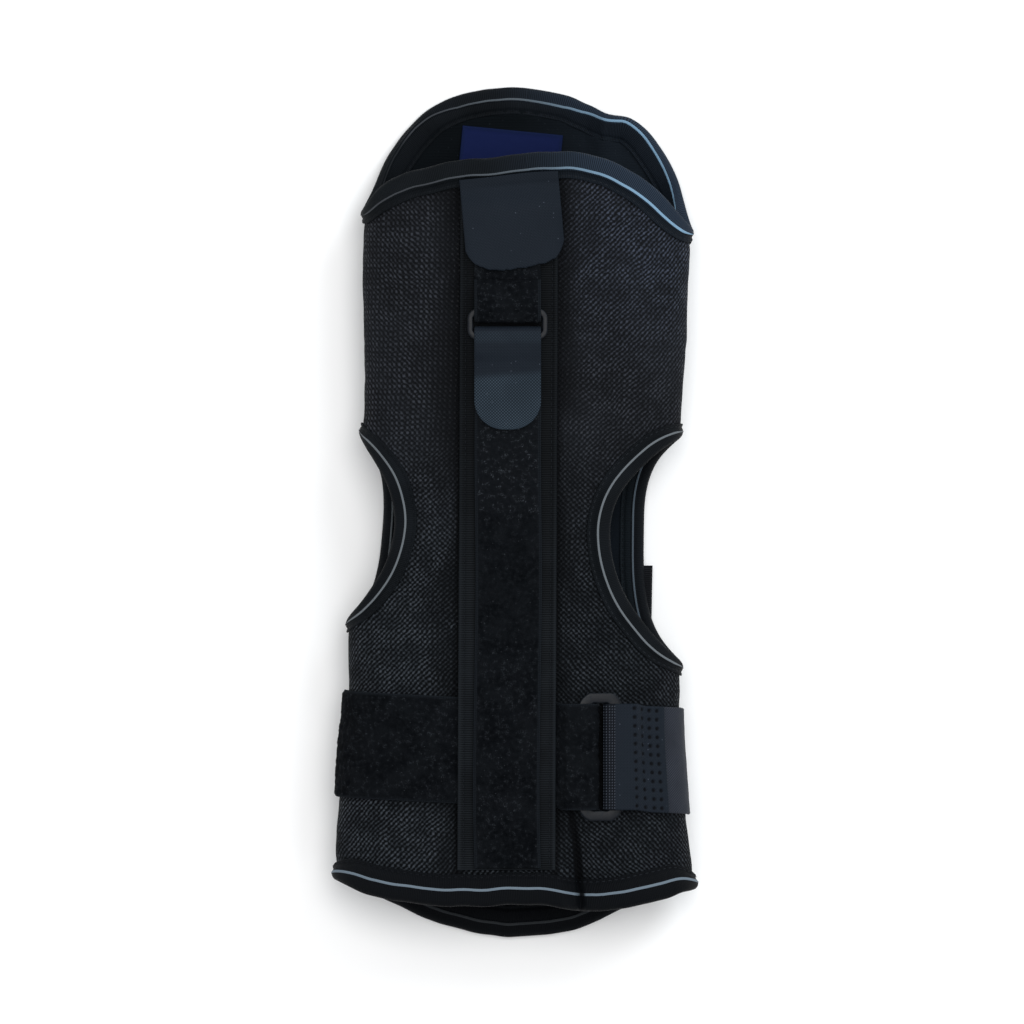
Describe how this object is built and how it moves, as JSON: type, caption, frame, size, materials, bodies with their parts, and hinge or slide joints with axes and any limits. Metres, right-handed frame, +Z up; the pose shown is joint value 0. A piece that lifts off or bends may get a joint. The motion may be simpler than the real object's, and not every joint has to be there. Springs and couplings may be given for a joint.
{
  "type": "plantar fasciitis night splint",
  "caption": "Padded mesh sleeve brace for the foot and lower leg, with oval ankle openings, bound edges, a front stay sleeve and ring-and-tab straps.",
  "frame": {"origin": "on the floor under the middle of the brace as it lies on its back", "axes": "+Y runs along the leg from the toes to the calf, +Z is up out of the shin side, +X is to the right seen from above"},
  "size_m": [0.1753, 0.4084, 0.067],
  "materials": {
    "mesh_cloth": "near-black padded air mesh with a raised grid of threads, matte",
    "lining_cloth": "black brushed lining, matte",
    "edge_tape": "black woven edge tape with a thin pale blue stripe",
    "webbing": "black ribbed webbing, matte",
    "loop_pile": "black loop pile, fluffy and matte",
    "hook_tape": "slate blue-black hook tape backing, low sheen",
    "ring_plastic": "moulded dark grey plastic, slightly glossy",
    "label_weave": "navy woven patch, bare"
  },
  "bodies": {
    "root": {"front_panel": "mesh_cloth", "back_panel": "lining_cloth", "calf_edge_tape": "edge_tape", "toe_edge_tape": "edge_tape", "left_ankle_tape": "edge_tape", "right_ankle_tape": "edge_tape", "stay_sleeve": "webbing", "upper_pull_strap": "loop_pile", "lower_pull_strap": "loop_pile", "pull_hook_tab": "hook_tape", "lock_hook_tab": "hook_tape", "pull_ring": "ring_plastic", "foot_loop_strap": "loop_pile", "foot_ring": "ring_plastic", "foot_hook_tab": "hook_tape", "foot_webbing": "webbing", "heel_strap": "webbing", "inner_label": "label_weave"}
  },
  "joints": []
}
